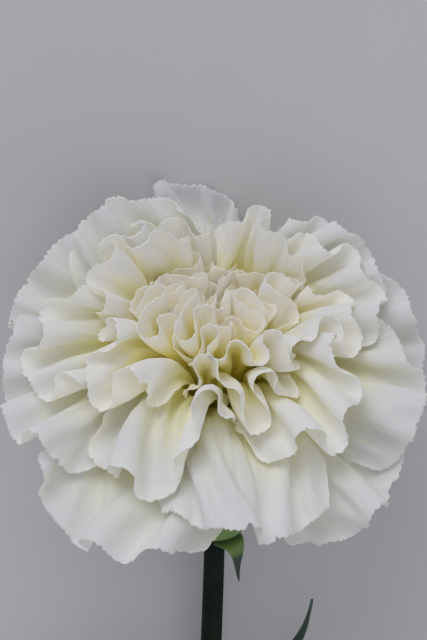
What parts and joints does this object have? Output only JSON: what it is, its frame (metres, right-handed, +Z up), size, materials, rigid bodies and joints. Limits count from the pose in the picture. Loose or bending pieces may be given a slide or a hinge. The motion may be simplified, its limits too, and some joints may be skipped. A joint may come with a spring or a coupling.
{
  "type": "cut carnation",
  "caption": "Cut double carnation lying on its side: a ruffled head of nested petals in a toothed calyx, on a jointed stem with narrow curled leaves.",
  "frame": {"origin": "on the surface the flower lies on, under the middle of its bounding box", "axes": "+Z up; the stem runs towards +Y and the flower head is at -Y, its face turned up and away from the stem"},
  "size_m": [0.1006, 0.3014, 0.0641],
  "materials": {
    "petal": "soft, thin and translucent, white at the margin and cream to yellow-green in the depth",
    "calyx": "smooth, light green, slightly waxy",
    "leaf": "waxy, dark blue-green",
    "stem": "waxy, very dark blue-green",
    "heart": "matt, pale yellow-green"
  },
  "bodies": {
    "root": {"petal_row1_1": "petal", "petal_row1_2": "petal", "petal_row1_3": "petal", "petal_row1_4": "petal", "petal_row1_5": "petal", "petal_row2_1": "petal", "petal_row2_2": "petal", "petal_row2_3": "petal", "petal_row2_4": "petal", "petal_row2_5": "petal", "petal_row3_1": "petal", "petal_row3_2": "petal", "petal_row3_3": "petal", "petal_row3_4": "petal", "petal_row3_5": "petal", "petal_row4_1": "petal", "petal_row4_2": "petal", "petal_row4_3": "petal", "petal_row4_4": "petal", "petal_row4_5": "petal", "petal_row5_1": "petal", "petal_row5_2": "petal", "petal_row5_3": "petal", "petal_row5_4": "petal", "petal_row6_1": "petal", "petal_row6_2": "petal", "petal_row6_3": "petal", "petal_row6_4": "petal", "petal_row7_1": "petal", "petal_row7_2": "petal", "petal_row7_3": "petal", "calyx": "calyx", "bract_1": "calyx", "bract_2": "calyx", "bract_3": "calyx", "bract_4": "calyx", "receptacle": "heart", "pistil": "heart", "stem": "stem", "leaf_1": "leaf", "leaf_2": "leaf", "leaf_3": "leaf", "leaf_4": "leaf"}
  },
  "joints": []
}
